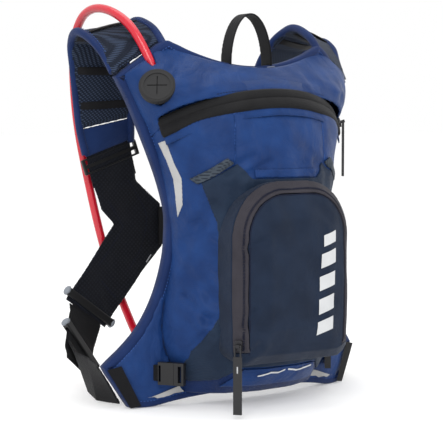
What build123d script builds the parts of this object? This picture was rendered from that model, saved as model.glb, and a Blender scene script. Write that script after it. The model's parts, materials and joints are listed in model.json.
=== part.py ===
from build123d import *
from math import cos, degrees, radians, sin, sqrt, tan
import os

# Hydration pack with a four-point chest harness, standing upright on a flat surface.
# Millimetres, +Z up, origin on the surface under the middle of the pack.
# -Y is the outer face with the pockets, +Y is the wearer's side with the harness.

# Overall sizes
body_height = 392.0        # top of the shoulder corners
body_width = 332.0         # across the two side wings
body_depth = 70.0          # depth of the compartment outside the back panel
harness_reach = 140.0      # how far the chest part stands behind the back panel

# Shares of the overall sizes, 1 at the sizes above
high = body_height / 392.0
wide = body_width / 332.0
deep = body_depth / 70.0
reach = harness_reach / 140.0

# Back panel, shell and binding
back_radius = 400.0        # the back panel bends round this upright cylinder
foam_thickness = 7.0
mesh_thickness = 1.2
shell_wall = 2.5
wing_thickness = 7.0
binding_width = 3.0
binding_lip = 1.5
neck_drop = 26.0           # how far the neckline dips below its corners
port_diameter = 34.0
port_thickness = 3.0
gap = 0.3                  # clearance between pieces that move past each other

# Main zipper: a circular arc in a tilted plane
zip_radius = 138.7
zip_tilt = 29.9            # tilt of the arc's plane, degrees
zip_tape_width = 19.0
zip_tape_thickness = 2.4
zip_half_angle = 57.0
zip_end_gap = 0.3          # between each end of the tape and the cloth beyond it
zip_slider_angle = 53.0
coil_width = 3.6
coil_height = 1.6
slider_length = 11.0
slider_width = 8.6
slider_height = 3.6
pivot_height = 3.4         # puller's pin above the slider's top
pin_diameter = 1.6
lug_width = 4.0
lug_length = 3.4
lug_rise = 1.8             # lug above the puller's pin
arm_width = 1.4
arm_length = 11.0
pull_width = 9.0
pull_thickness = 2.2
main_pull_length = 62.0
pocket_pull_length = 71.0

# Front pocket on its four-corner carrier
carrier_thickness = 2.0
pocket_half_width = 75.0
pocket_top = 244.0
pocket_bottom = 52.0
pocket_edge_depth = 9.0    # side panel stands this far outside the compartment's middle
pocket_bulge = 17.0
pocket_wall = 2.0
pocket_tape_width = 13.0
pocket_slider_height = 76.0

# Harness
strap_width = 66.0
strap_thickness = 6.0
band_thickness = 3.0
elastic_width = 61.0
harness_thickness = 3.2    # chest elastic
webbing_width = 50.0
webbing_thickness = 2.4
lock_height = 18.0
lock_thickness = 4.0
lock_slot = 5.0
bar_end = 4.0
bar_height = 9.0
bar_thickness = 8.0
bar_clearance = 0.6
bar_skew = 7.0             # extra slot length where the webbing crosses at a slant
handle_width = 20.0
handle_thickness = 1.8
handle_span = 55.0
handle_rise = 56.0

# Buckles
buckle_width = 24.0
buckle_thickness = 7.0
buckle_wall = 1.6
female_length = 18.0
male_length = 11.0
prong_length = 11.0
prong_width = 4.0
tail_slot = 2.4
tail_thickness = 1.6
tail_length = 16.0
clip_height = 44.0
clip_half_width = 34.0
clip_thickness = 9.0
clip_slot_depth = 7.0
rail_width = 5.0
rail_neck = 2.6
rail_depth = 5.0
button_diameter = 9.0
button_offset = 16.0
button_recess = 2.8
button_travel = 1.2

# Water system
hose_diameter = 9.6
hose_socket = 1.0
bladder_width = 124.0
bladder_shift = 6.0        # to the right, clear of the hose
bladder_height = 232.0
bladder_thickness = 22.0
bladder_floor = 54.0
bladder_face = -10.0
fold_thickness = 3.0
closure_height = 8.0
closure_thickness = 9.0
outlet_height = 76.0
outlet_diameter = 22.0
outlet_rim = 3.0
elbow_diameter = 13.0
release_level = 88.0
release_diameter = 7.0
release_thickness = 2.4
valve_diameter = 14.0
valve_length = 20.0
lever_width = 8.0
lever_length = 14.0
lever_thickness = 2.4

os.makedirs("parts", exist_ok=True)


def edge_y(x):
    """Depth of the back panel's outer face at a distance from the middle."""
    return back_radius - sqrt(back_radius**2 - x**2)


# Compartment: height, half width and depth of its sections, bottom to top
dome_sections = [
    (15, 84, 34), (40, 93, 60), (101, 104, 68), (185, 96, 70), (255, 107, 69),
    (310, 127, 64), (345, 144, 43), (366, 152, 17), (400, 156, 5),
]
inner_sections = dome_sections[:7]


def dome(sections, inset):
    """Solid of the compartment's outer shape, made smaller all round by the inset."""
    with BuildPart() as form:
        for order, (height, half_width, depth) in enumerate(sections):
            half = half_width * wide - inset
            centre = edge_y(half) + 5.0
            level = height * high + (inset if order == 0 else 0)
            with BuildSketch(Plane.XY.offset(level)):
                with BuildLine():
                    EllipticalCenterArc((0, centre), half, depth * deep + centre - inset, 180, arc_size=180)
                    Polyline((half, centre), (half, 80), (-half, 80), (-half, centre))
                make_face()
        loft()
    return form


def outline(inset):
    """The pack seen from behind: neckline, shoulders, arm curves, wings and base."""
    neck = (100 * wide, body_height - inset * 1.3)
    shoulder = (153 * wide - inset * 1.2, 353 * high - inset * 0.6)
    arm = [(133, 310), (108, 240), (101, 185), (110, 131), (131, 85)]
    wing_top = (166 * wide - inset * 1.4, 44 * high - inset * 0.3)
    wing_foot = (140 * wide - inset * 1.3, inset)
    foot_inner = (116 * wide, inset)
    low = [(71 * wide, 9 * high + inset), (0, 11 * high + inset), (-71 * wide, 9 * high + inset)]
    right = [shoulder] + [(x * wide - inset, z * high) for x, z in arm] + [wing_top]
    with BuildSketch(Plane.XZ.offset(-220)) as shape:
        with BuildLine():
            ThreePointArc((-neck[0], neck[1]), (0, body_height - neck_drop - inset), neck)
            Line(neck, shoulder)
            Spline(right)
            Line(wing_top, wing_foot)
            Line(wing_foot, foot_inner)
            Spline([foot_inner] + low + [(-foot_inner[0], inset)])
            Line((-foot_inner[0], inset), (-wing_foot[0], inset))
            Line((-wing_foot[0], inset), (-wing_top[0], wing_top[1]))
            Spline([(-x, z) for x, z in reversed(right)])
            Line((-shoulder[0], shoulder[1]), (-neck[0], neck[1]))
        make_face()
    return shape


def prism(shape):
    """Block from an upright outline towards the outer face."""
    with BuildPart() as block:
        extrude(shape.sketch, amount=440, dir=(0, -1, 0))
    return block


def back_layer(inner_radius, outer_radius):
    """Upright tube about the back panel's axis."""
    with BuildPart(Plane((0, back_radius, -50))) as layer:
        Cylinder(outer_radius, 600, align=(Align.CENTER, Align.CENTER, Align.MIN))
        Cylinder(inner_radius, 600, align=(Align.CENTER, Align.CENTER, Align.MIN), mode=Mode.SUBTRACT)
    return layer


def zone(low, high_corner):
    """Block between two corners, used to share a form out between pieces."""
    size = [b - a for a, b in zip(low, high_corner)]
    with BuildPart(Plane(low)) as block:
        Box(*size, align=(Align.MIN, Align.MIN, Align.MIN))
    return block


def keep(form, *limits):
    """The part of a form that lies inside every limit."""
    with BuildPart() as piece:
        add(form.part)
        for limit in limits:
            add(limit.part, mode=Mode.INTERSECT)
    return piece


def cut(form, *tools):
    """A form with other forms taken out of it."""
    with BuildPart() as piece:
        add(form.part)
        for tool in tools:
            add(tool.part, mode=Mode.SUBTRACT)
    return piece


def largest(form):
    """The biggest solid of a form, without the offcuts that a cut leaves."""
    with BuildPart() as piece:
        add(form.part.solids().sort_by(SortBy.VOLUME)[-1])
    return piece


def front_prism(points):
    """Block through the pack from an outline drawn on its front, x and z."""
    with BuildPart() as block:
        with BuildSketch(Plane.XZ):
            with BuildLine():
                Polyline(points, close=True)
            make_face()
        extrude(amount=160)
    return block


outer_form = dome(dome_sections, 0)
inner_form = dome(inner_sections, shell_wall)
trim = prism(outline(binding_width))
wearer_side = back_layer(1, back_radius)
body_solid = cut(outer_form, wearer_side)

# Tilted plane of the main zipper, its arc centre and its axis
apex = Vector(0, -62 * deep, 331.5 * high)
inward = Vector(0, cos(radians(zip_tilt)), -sin(radians(zip_tilt)))
zip_axis = Vector(0, sin(radians(zip_tilt)), cos(radians(zip_tilt)))
zip_centre = apex + inward * zip_radius


def zip_point(angle, rise=0.0):
    """Point on the main zipper's arc, by its angle from the top."""
    outward = inward * -cos(radians(angle)) + Vector(sin(radians(angle)), 0, 0)
    return zip_centre + outward * (zip_radius + rise), outward


def zip_ring(inner_rise, outer_rise, width, half_angle):
    """Ring section about the zipper's axis, centred on the middle of the arc."""
    direction = zip_point(-half_angle)[1]
    start = Plane(zip_centre, x_dir=direction, z_dir=direction.cross(zip_axis))
    with BuildPart() as ring:
        with BuildSketch(start):
            with Locations((zip_radius + (inner_rise + outer_rise) / 2, 0)):
                Rectangle(outer_rise - inner_rise, width)
        revolve(axis=Axis(zip_centre, zip_axis), revolution_arc=2 * half_angle)
    return ring


zip_slab = zip_ring(-40, 40, zip_tape_width, zip_half_angle + degrees(zip_end_gap / zip_radius))

with BuildPart() as shell_form:
    add(outer_form.part)
    add(inner_form.part, mode=Mode.SUBTRACT)
    add(wearer_side.part, mode=Mode.SUBTRACT)
    add(trim.part, mode=Mode.INTERSECT)
    add(zip_slab.part, mode=Mode.SUBTRACT)

# Hose route: out of the shoulder seam, over the strap's crest, down behind the strap
# and the chest piece, then along the surface behind the pack. A point of a hose that
# lies on the surface is half a diameter above it.
hose_points = [
    (-121, 13, 376), (-126, 22, 395), (-131, 42, 414), (-136, 72, 427), (-139, 102, 430),
    (-139, 130, 421), (-137, 152, 396), (-133, 161, 352), (-128, 161, 298), (-117, 157, 238),
    (-104, 155, 180), (-90, 154, 132), (-74, 152, 92), (-58, 148, 52), (-40, 136, 22),
    (-17, 116, 7), (14, 102, 5.2), (44, 98, 7.4), (72, 103, 7.4),
]
inner_hose_points = [
    (0, -46, 98), (0, -46, 140), (-46, -42, 200), (-82, -22, 262), (-98, -1, 316),
    (-115.5, 3.1, 355.1), (-121, 13, 376),
]


def route_radii(points):
    """Largest arcs that the runs allow, one for each inner point of a route."""
    radii = []
    for before, point, after in zip(points, points[1:], points[2:]):
        run_in = Vector(*point) - Vector(*before)
        run_out = Vector(*after) - Vector(*point)
        turn = run_in.get_angle(run_out)
        radii.append(0.45 * min(run_in.length, run_out.length) / tan(radians(turn) / 2))
    return radii


def tube(points, diameter):
    """Round tube along straight runs joined by tangent arcs."""
    with BuildPart() as pipe:
        with BuildLine() as route:
            FilletPolyline(*points, radius=route_radii(points))
        first = Vector(*points[0])
        with BuildSketch(Plane(first, z_dir=Vector(*points[1]) - first)):
            Circle(diameter / 2)
        sweep(path=route.wires()[0])
    length = route.wires()[0].length
    section = 3.14159 * diameter**2 / 4
    print("tube length", round(length), "volume share", round(pipe.part.volume / (section * length), 3))
    print("radii", [round(r) for r in route_radii(points)])
    return pipe


hose = tube(hose_points, hose_diameter)
hose_inner = tube(inner_hose_points, hose_diameter)
hose_channel = tube(inner_hose_points[3:-1] + hose_points[1:3], hose_diameter + 2 * hose_socket)

# Sewn body: panels shared out of one shell
side_seam = 56 * wide
base_top = 44 * high
above_zip = Plane(zip_centre, x_dir=(1, 0, 0), z_dir=zip_axis)
with BuildPart(above_zip) as upper_half:
    Box(600, 600, 300, align=(Align.CENTER, Align.CENTER, Align.MIN))
with BuildPart(above_zip) as lower_half:
    Box(600, 600, 500, align=(Align.CENTER, Align.CENTER, Align.MAX))

port_middle = Vector(-124 * wide, -13 * deep, 343 * high)
port_plane = Plane(port_middle, x_dir=(0.84, -0.54, 0), z_dir=(-0.50, -0.74, 0.45))
with BuildPart(port_plane) as port_hole:
    Cylinder(port_diameter / 2, 30)
with BuildPart(port_plane) as cable_port:
    Cylinder(port_diameter / 2, port_thickness)
    with Locations((0, 0, port_thickness / 2)):
        Cylinder(port_diameter / 2 - 3, 1.6, mode=Mode.SUBTRACT)
    Box(port_diameter * 0.62, 1.0, 30, mode=Mode.SUBTRACT)
    Box(1.0, port_diameter * 0.62, 30, mode=Mode.SUBTRACT)

upper_yoke = cut(keep(shell_form, upper_half), port_hole, hose_channel)
lower_shell = keep(shell_form, lower_half)
front_panel = keep(lower_shell, zone((-side_seam, -200, base_top), (side_seam, 100, 420)))
side_panel_left = keep(lower_shell, zone((-250, -200, base_top), (-side_seam, 100, 420)))
side_panel_right = keep(lower_shell, zone((side_seam, -200, base_top), (250, 100, 420)))
bottom_panel = keep(lower_shell, zone((-250, -200, -10), (250, 100, base_top)))

# Main zipper: two tapes with the closed coil between them
tape_ring = zip_ring(-zip_tape_thickness, 0, zip_tape_width, zip_half_angle)
coil_ring = zip_ring(0, coil_height, coil_width, zip_half_angle)
with BuildPart() as main_zip_form:
    add(tape_ring.part)
    add(coil_ring.part)
main_zip_tape = cut(main_zip_form, wearer_side)

back_panel = cut(keep(back_layer(back_radius - foam_thickness, back_radius), trim), hose_channel)
mesh_radius = back_radius - foam_thickness
back_mesh = cut(keep(back_layer(mesh_radius - mesh_thickness, mesh_radius), trim), hose_channel)

with BuildPart() as binding_form:
    add(prism(outline(0)).part)
    add(trim.part, mode=Mode.SUBTRACT)
    add(back_layer(mesh_radius - mesh_thickness - binding_lip,
                   back_radius + wing_thickness + binding_lip).part, mode=Mode.INTERSECT)
edge_binding = largest(cut(binding_form, body_solid, hose_channel))

wing_form = cut(keep(back_layer(back_radius, back_radius + wing_thickness), trim), outer_form)
side_wing_left = keep(wing_form, zone((-250, -100, -10), (-80, 100, 150 * high)))
side_wing_right = keep(wing_form, zone((80, -100, -10), (250, 100, 150 * high)))

# Grab handle: a bent loop of webbing sewn to the neckline
handle_foot = body_height - neck_drop + 1
handle_plane = Plane((-2, 2, handle_foot), x_dir=(1, 0, 0), z_dir=(0, -1, 0))
with BuildPart() as handle_form:
    with BuildSketch(handle_plane):
        Ellipse(handle_span / 2, handle_rise)
        Ellipse(handle_span / 2 - handle_thickness, handle_rise - handle_thickness, mode=Mode.SUBTRACT)
        with Locations((0, -handle_rise)):
            Rectangle(handle_span * 2, handle_rise * 2, mode=Mode.SUBTRACT)
    extrude(amount=handle_width / 2, both=True)
grab_handle = largest(cut(handle_form, edge_binding, upper_yoke, back_panel, back_mesh))

# Carrier: an X of fabric over the front, held at four corners
carrier_form = cut(dome(dome_sections, -carrier_thickness), outer_form, wearer_side)
carrier_half = [
    (40, 246), (54, 262), (84, 242), (71, 200), (66, 150), (68, 104), (90, 64), (92, 45),
    (84, 28), (64, 32), (46, 46),
]
carrier_points = [(x * wide, z * high) for x, z in carrier_half]
carrier_points += [(-x, z) for x, z in reversed(carrier_points)]
carrier_panel = keep(carrier_form, front_prism(carrier_points))



def front_patch(points, side=1):
    """Piece of fabric on the compartment, from an outline on the front."""
    outline_points = [(side * x * wide, z * high) for x, z in points]
    return cut(keep(carrier_form, front_prism(outline_points)), carrier_panel)


stow_hem = front_patch([(-38, 247), (38, 247), (38, 256), (-38, 256)])
bottom_flap = front_patch([(-60, 24), (60, 24), (44, 45), (-44, 45)])
tab_points = [(57, 262), (64, 268), (92, 246), (86, 240)]
carrier_top_tab_left = largest(front_patch(tab_points, -1))
carrier_top_tab_right = largest(front_patch(tab_points))


def pocket_section(depth, inset):
    """Arched outline of the pocket at a depth in front of the back panel."""
    half = pocket_half_width * wide - inset
    low = pocket_bottom * high + inset
    top = pocket_top * high - inset
    low_corner = max(18.0 - inset * 0.5, 4.0)
    top_corner = 58.0 * wide - inset
    with BuildSketch(Plane.XZ.offset(depth)) as face:
        with BuildLine():
            Line((-half + low_corner, low), (half - low_corner, low))
            RadiusArc((half - low_corner, low), (half, low + low_corner), -low_corner)
            Line((half, low + low_corner), (half, top - top_corner))
            RadiusArc((half, top - top_corner), (half - top_corner, top), -top_corner)
            Line((half - top_corner, top), (-half + top_corner, top))
            RadiusArc((-half + top_corner, top), (-half, top - top_corner), -top_corner)
            Line((-half, top - top_corner), (-half, low + low_corner))
            RadiusArc((-half, low + low_corner), (-half + low_corner, low), -low_corner)
        make_face()
    return face


edge_depth = body_depth + pocket_edge_depth


def pocket_side(inset):
    with BuildPart() as form:
        add(pocket_section(30, inset + 6).sketch)
        add(pocket_section(edge_depth, inset).sketch)
        loft(ruled=True)
    return form


def pocket_cap(inset):
    with BuildPart() as form:
        add(pocket_section(edge_depth, inset).sketch)
        add(pocket_section(edge_depth + pocket_bulge * 0.65 - inset * 0.5, inset + 11).sketch)
        add(pocket_section(edge_depth + pocket_bulge - inset, inset + 38).sketch)
        loft(ruled=True)
    return form


carrier_solid = dome(dome_sections, -carrier_thickness)
pocket_gusset = cut(pocket_side(0), pocket_side(pocket_wall), carrier_solid)
pocket_cap_form = cut(pocket_cap(0), pocket_cap(pocket_wall))
tape_path = cut(prism(pocket_section(0, 0)), prism(pocket_section(0, pocket_tape_width)))
tape_zone = keep(tape_path, zone((-200, -200, pocket_bottom * high + 16), (200, 10, 400)))
pocket_zip_tape = keep(pocket_cap_form, tape_zone)
pocket_front = cut(pocket_cap_form, tape_zone)

# Reflective strips on both sides of the compartment
strip_form = cut(dome(dome_sections, -0.8), outer_form, wearer_side)
with BuildPart() as strip_block:
    with BuildSketch(Plane.YZ):
        with BuildLine():
            Polyline([(3 * deep, 283 * high), (-8 * deep, 286 * high), (-12 * deep, 262 * high),
                      (-17 * deep, 246 * high), (-14 * deep, 218 * high), (-6 * deep, 204 * high),
                      (-7 * deep, 245 * high), (-3 * deep, 265 * high)], close=True)
        make_face()
    extrude(amount=200, both=True)
strips = keep(strip_form, strip_block)
reflective_strip_left = keep(strips, zone((-250, -200, 0), (0, 200, 420)))
reflective_strip_right = keep(strips, zone((0, -200, 0), (250, 200, 420)))


def ribbon(stations, thickness, width):
    """Flat strap through stations, each a middle point and a direction across it."""
    with BuildPart() as strap:
        for index, (middle, across) in enumerate(stations):
            before = stations[max(index - 1, 0)][0]
            after = stations[min(index + 1, len(stations) - 1)][0]
            along = Vector(*after) - Vector(*before)
            side = Vector(*across).normalized()
            with BuildSketch(Plane(Vector(*middle), x_dir=side, z_dir=along - side * along.dot(side))):
                Rectangle(width, thickness)
        loft(ruled=True)
    return strap


def placed(x, y, z):
    return Vector(x * wide, y * reach, z * high)


def mirrored(form):
    """The same piece on the other side of the pack."""
    with BuildPart() as piece:
        mirror(form.part, about=Plane.YZ)
    return piece


def webbing_bar(middle, across, facing, slot_length, slot_depth):
    """Adjuster bar: a long block with a slot for the webbing to run through."""
    with BuildPart(Plane(middle, x_dir=across, z_dir=facing)) as bar:
        Box(slot_length + 2 * bar_end, bar_height, bar_thickness)
        fillet(bar.edges(), 1.5)
        Box(slot_length, bar_height * 2, slot_depth, mode=Mode.SUBTRACT)
    return bar


def harness_side():
    """Harness pieces of the right side."""
    def station(x, y, z, across):
        return placed(x, y, z), across

    shoulder = [
        station(127, 20, 371, (0.78, 0.22, -0.59)), station(129, 38, 390, (0.85, 0.23, -0.47)),
        station(133, 62, 404, (0.93, 0.24, -0.28)), station(134, 88, 406, (0.96, 0.24, -0.14)),
        station(128, 109, 394, (0.97, 0.24, -0.05)), station(120, 121, 370, (0.97, 0.23, 0)),
        station(113, 128, 335, (0.97, 0.23, 0)), station(107, 133, 303, (0.95, 0.22, -0.22)),
    ]
    strap = largest(cut(ribbon(shoulder, strap_thickness, strap_width), body_solid, edge_binding,
                        back_panel, back_mesh))
    band_end = station(100, 139, 276, (0.94, 0.0, -0.33))
    band = cut(ribbon([shoulder[-1], band_end], band_thickness, strap_width - 4), strap)

    # Ladder lock: a frame with a middle bar, between the band and the chest elastic
    lock_middle = placed(96, 0, 265) + Vector(0, harness_reach + harness_thickness / 2, 0)
    with BuildPart(Plane(lock_middle, x_dir=(0.94, 0, -0.33), z_dir=(0, 1, 0))) as lock:
        Box(strap_width + 8, lock_height, lock_thickness)
        fillet(lock.edges(), 1.2)
        with Locations((0, lock_height / 4, 0), (0, -lock_height / 4, 0)):
            Box(strap_width, lock_slot, lock_thickness * 2, mode=Mode.SUBTRACT)
    band = cut(band, lock)

    # Chest elastic: a wide band that bends back like an arrow head
    arrow = [
        (121, 242), (66, 262), (63, 238), (31, 210), (28, 160), (58, 128), (105, 69),
        (154, 105), (124, 145), (92, 188), (108, 205),
    ]
    with BuildPart() as elastic_form:
        with BuildSketch(Plane.XZ.offset(-harness_reach)):
            with BuildLine():
                Polyline([(x * wide, z * high) for x, z in arrow], close=True)
            make_face()
        extrude(amount=-harness_thickness)
    elastic = cut(elastic_form, lock)

    # Webbing from the elastic's foot round to the side wing
    foot_level = harness_reach + harness_thickness / 2
    foot_middle = placed(130, 0, 86.2) + Vector(0, foot_level, 0)
    level = (0.56, 0, 0.83)
    lower = [
        (foot_middle, (0.8, 0, 0.6)), station(138, 133, 67, level), station(149, 120, 42, level),
        station(157, 98, 29, (0.34, 0, 0.94)), station(159, 68, 26, (0.22, 0, 0.98)),
        station(156, 36, 25, (0.45, 0.15, 0.87)),
    ]
    webbing = largest(cut(ribbon(lower, webbing_thickness, webbing_width), edge_binding, side_wing_right,
                          back_panel, back_mesh, elastic))

    # Two adjuster bars, the upper on the elastic and the lower on the webbing
    upper_middle = placed(124, 0, 94.2) + Vector(0, foot_level, 0)
    upper_bar = webbing_bar(upper_middle, (0.8, 0, 0.6), (0, 1, 0), elastic_width + 2 * bar_clearance,
                            harness_thickness + 2 * bar_clearance)
    run = lower[2][0] - lower[1][0]
    lower_middle = lower[1][0] + run * 0.5
    lower_bar = webbing_bar(lower_middle, level, Vector(*level).cross(run), webbing_width + bar_skew,
                            webbing_thickness + 2 * bar_clearance + 0.8)
    return strap, band, lock, elastic, webbing, upper_bar, lower_bar


right = harness_side()
left = [mirrored(piece) for piece in right]
left[0] = cut(left[0], hose_channel)

# Chest clip: two plates joined by an upright T-shaped rail, with a button on one
clip_level = 184 * high
clip_front = harness_reach + (harness_thickness - clip_thickness) / 2
elastic_slot = harness_thickness + 2 * bar_clearance
rail_middle = clip_front + clip_thickness / 2
with BuildPart(Plane((0, rail_middle, clip_level))) as chest_clip_base:
    with Locations((gap / 2, 0, 0)):
        Box(clip_half_width, clip_thickness, clip_height, align=(Align.MIN, Align.CENTER, Align.CENTER))
    Box(rail_depth * 2, rail_neck, clip_height * 2, mode=Mode.SUBTRACT)
    with Locations((rail_depth * 0.75, 0, 0)):
        Box(rail_depth / 2, rail_width, clip_height * 2, mode=Mode.SUBTRACT)
    with Locations((clip_half_width - clip_slot_depth / 2 + gap, 0, 0)):
        Box(clip_slot_depth, elastic_slot, clip_height * 2, mode=Mode.SUBTRACT)
    with Locations((button_offset, clip_thickness / 2 - button_recess, 0)):
        Cylinder(button_diameter / 2 + gap, button_recess * 2, rotation=(-90, 0, 0),
                 align=(Align.CENTER, Align.CENTER, Align.MIN), mode=Mode.SUBTRACT)
with BuildPart(Plane((0, rail_middle, clip_level))) as chest_clip_slide:
    with Locations((-gap / 2, 0, 0)):
        Box(clip_half_width, clip_thickness, clip_height, align=(Align.MAX, Align.CENTER, Align.CENTER))
        Box(rail_depth * 0.6, rail_neck - 2 * gap, clip_height,
            align=(Align.MIN, Align.CENTER, Align.CENTER))
    with Locations((rail_depth * 0.75, 0, 0)):
        Box(rail_depth / 2 - 2 * gap, rail_width - 2 * gap, clip_height)
    with Locations((-clip_half_width + clip_slot_depth / 2 - gap, 0, 0)):
        Box(clip_slot_depth, elastic_slot, clip_height * 2, mode=Mode.SUBTRACT)
button_seat = rail_middle + clip_thickness / 2 - button_recess
button_middle = Vector(button_offset, button_seat + button_travel + gap, clip_level)
with BuildPart(Plane(button_middle, x_dir=(1, 0, 0), z_dir=(0, 1, 0))) as chest_clip_button:
    Cylinder(button_diameter / 2, button_recess, align=(Align.CENTER, Align.CENTER, Align.MIN))


def side_buckle():
    """Side-release buckle of the right lower carrier corner: female half, male half, tail."""
    plane = Plane(Vector(102 * wide, -10.5 * deep, 38 * high), x_dir=(0.6, 0.8, 0), z_dir=(0.8, -0.6, 0))
    inner_height = buckle_thickness - 2 * buckle_wall
    with BuildPart(plane) as female:
        with Locations((gap / 2, 0, 0)):
            Box(female_length, buckle_width, buckle_thickness,
                align=(Align.MIN, Align.CENTER, Align.CENTER))
        Box(2 * (prong_length + 2 * gap), buckle_width - 2 * buckle_wall, inner_height, mode=Mode.SUBTRACT)
        with Locations((prong_length * 0.55, 0, 0)):
            Box(prong_length * 0.5, buckle_width * 2, inner_height, mode=Mode.SUBTRACT)
        with Locations((female_length - tail_slot * 0.8, 0, 0)):
            Box(tail_slot, buckle_width - 4 * buckle_wall, buckle_thickness * 2, mode=Mode.SUBTRACT)
    with BuildPart(plane) as male:
        with Locations((-gap / 2, 0, 0)):
            Box(male_length, buckle_width, buckle_thickness, align=(Align.MAX, Align.CENTER, Align.CENTER))
        prong_offset = buckle_width / 2 - buckle_wall - gap - prong_width / 2
        with Locations((-gap, prong_offset, 0), (-gap, -prong_offset, 0), (-gap, 0, 0)):
            Box(prong_length, prong_width, inner_height - 2 * gap,
                align=(Align.MIN, Align.CENTER, Align.CENTER))
        with Locations((-male_length * 0.6, 0, 0)):
            Box(tail_slot * 1.6, buckle_width - 4 * buckle_wall, buckle_thickness * 2, mode=Mode.SUBTRACT)
    with BuildPart(plane) as tail_form:
        with Locations((female_length + gap / 2, 0, 0)):
            Box(tail_length, buckle_width - 4 * buckle_wall, tail_thickness,
                align=(Align.MIN, Align.CENTER, Align.CENTER))
    tail = largest(cut(tail_form, side_wing_right, edge_binding, back_panel, back_mesh, body_solid))
    return female, male, tail


right_buckle = side_buckle()
left_buckle = [mirrored(piece) for piece in right_buckle]


def puller(pivot, sideways, length):
    """Zipper puller that hangs from its pin: two arms, a bridge and a tab."""
    with BuildPart(Plane(pivot, x_dir=sideways, z_dir=(0, 0, 1))) as pull:
        Cylinder(pin_diameter / 2, lug_width + 2 * (gap + arm_width), rotation=(0, 90, 0))
        arm_offset = (lug_width + arm_width) / 2 + gap
        with Locations((arm_offset, 0, 0), (-arm_offset, 0, 0)):
            Box(arm_width, pull_thickness, arm_length, align=(Align.CENTER, Align.CENTER, Align.MAX))
            Cylinder(pull_thickness / 2, arm_width, rotation=(0, 90, 0))
        with Locations((0, 0, -arm_length)):
            Box(pull_width, pull_thickness, length - arm_length,
                align=(Align.CENTER, Align.CENTER, Align.MAX))
    return pull


def slider(plane, pivot, sideways, channel_depth):
    """Zipper slider: a body that straddles the coil, with a lug for the puller."""
    with BuildPart(plane) as body:
        with Locations((0, 0, gap)):
            Box(slider_length, slider_width, slider_height, align=(Align.CENTER, Align.CENTER, Align.MIN))
        fillet(body.edges().filter_by(Axis(plane.origin, plane.z_dir)), 2.5)
        Box(slider_length * 2, coil_width + 2 * gap, 2 * channel_depth, mode=Mode.SUBTRACT)
    lug_plane = Plane(pivot, x_dir=sideways, z_dir=plane.z_dir)
    with BuildPart(lug_plane) as lug:
        with Locations((0, 0, lug_rise)):
            Box(lug_width, lug_length, lug_rise + pivot_height,
                align=(Align.CENTER, Align.CENTER, Align.MAX))
        Cylinder(pin_diameter / 2 + gap, lug_width * 2, rotation=(0, 90, 0), mode=Mode.SUBTRACT)
    with BuildPart() as whole:
        add(body.part)
        add(lug.part)
    return whole


arc_point, arc_out = zip_point(zip_slider_angle)
arc_along = inward * sin(radians(zip_slider_angle)) + Vector(cos(radians(zip_slider_angle)), 0, 0)
main_pivot = arc_point + arc_out * (slider_height + pivot_height)
main_sideways = Vector(0, 0, 1).cross(Vector(arc_out.X, arc_out.Y, 0)).normalized()
main_zip_slider = slider(Plane(arc_point, x_dir=arc_along, z_dir=arc_out), main_pivot, main_sideways,
                         coil_height + gap)
main_zip_pull = puller(main_pivot, main_sideways, main_pull_length)

pocket_out = Vector(-sin(radians(45)), -cos(radians(45)), 0)
pocket_middle = Vector(-pocket_half_width * wide + 5.5, -edge_depth - 5.5, pocket_slider_height)
pocket_sideways = Vector(0, 0, 1).cross(pocket_out)
pocket_pivot = pocket_middle + pocket_out * (slider_height + pivot_height)
pocket_zip_slider = slider(Plane(pocket_middle, x_dir=(0, 0, 1), z_dir=pocket_out), pocket_pivot,
                           pocket_sideways, coil_height + gap)
pocket_zip_pull = puller(pocket_pivot, pocket_sideways, pocket_pull_length)

# Water system inside: bladder, its closing bar, the outlet and its quick connector
bladder_middle = bladder_face - bladder_thickness / 2
bladder_top = bladder_floor + bladder_height
with BuildPart(Plane((bladder_shift, bladder_middle, bladder_floor))) as bladder:
    Box(bladder_width, bladder_thickness, bladder_height, align=(Align.CENTER, Align.CENTER, Align.MIN))
    fillet(bladder.edges(), bladder_thickness * 0.36)
    with Locations((0, 0, bladder_height)):
        Box(bladder_width - 20, fold_thickness, closure_height, align=(Align.CENTER, Align.CENTER, Align.MIN))
with BuildPart(Plane((bladder_shift, bladder_middle, bladder_top))) as bladder_slide_bar:
    with Locations((0, 0, gap)):
        Box(bladder_width - 14, closure_thickness, closure_height + 2,
            align=(Align.CENTER, Align.CENTER, Align.MIN))
    Box(bladder_width, fold_thickness + 2 * gap, 2 * (closure_height + gap), mode=Mode.SUBTRACT)
hanger_foot = bladder_top + closure_height + 2 + 3 * gap
with BuildPart(Plane((bladder_shift, bladder_middle, hanger_foot))) as bladder_hanger:
    Box(18, 3, 26, align=(Align.CENTER, Align.CENTER, Align.MIN))
outlet_face = bladder_face - bladder_thickness
outlet_axis = inner_hose_points[0][1]
outlet_plane = Plane((0, outlet_face, outlet_height), x_dir=(1, 0, 0), z_dir=(0, -1, 0))
with BuildPart(outlet_plane) as bladder_outlet:
    Cylinder(outlet_diameter / 2, outlet_rim, align=(Align.CENTER, Align.CENTER, Align.MIN))
    Cylinder(elbow_diameter / 2, outlet_face - outlet_axis, align=(Align.CENTER, Align.CENTER, Align.MIN))
    with Locations((0, 0, outlet_face - outlet_axis)):
        Sphere(elbow_diameter / 2)
        Cylinder(elbow_diameter / 2, inner_hose_points[0][2] - outlet_height, rotation=(-90, 0, 0),
                 align=(Align.CENTER, Align.CENTER, Align.MIN))
release_seat = outlet_axis - elbow_diameter / 2 - gap - button_travel
with BuildPart(Plane((0, release_seat, release_level), x_dir=(1, 0, 0), z_dir=(0, -1, 0))) as release_button:
    Cylinder(release_diameter / 2, release_thickness, align=(Align.CENTER, Align.CENTER, Align.MIN))

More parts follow.
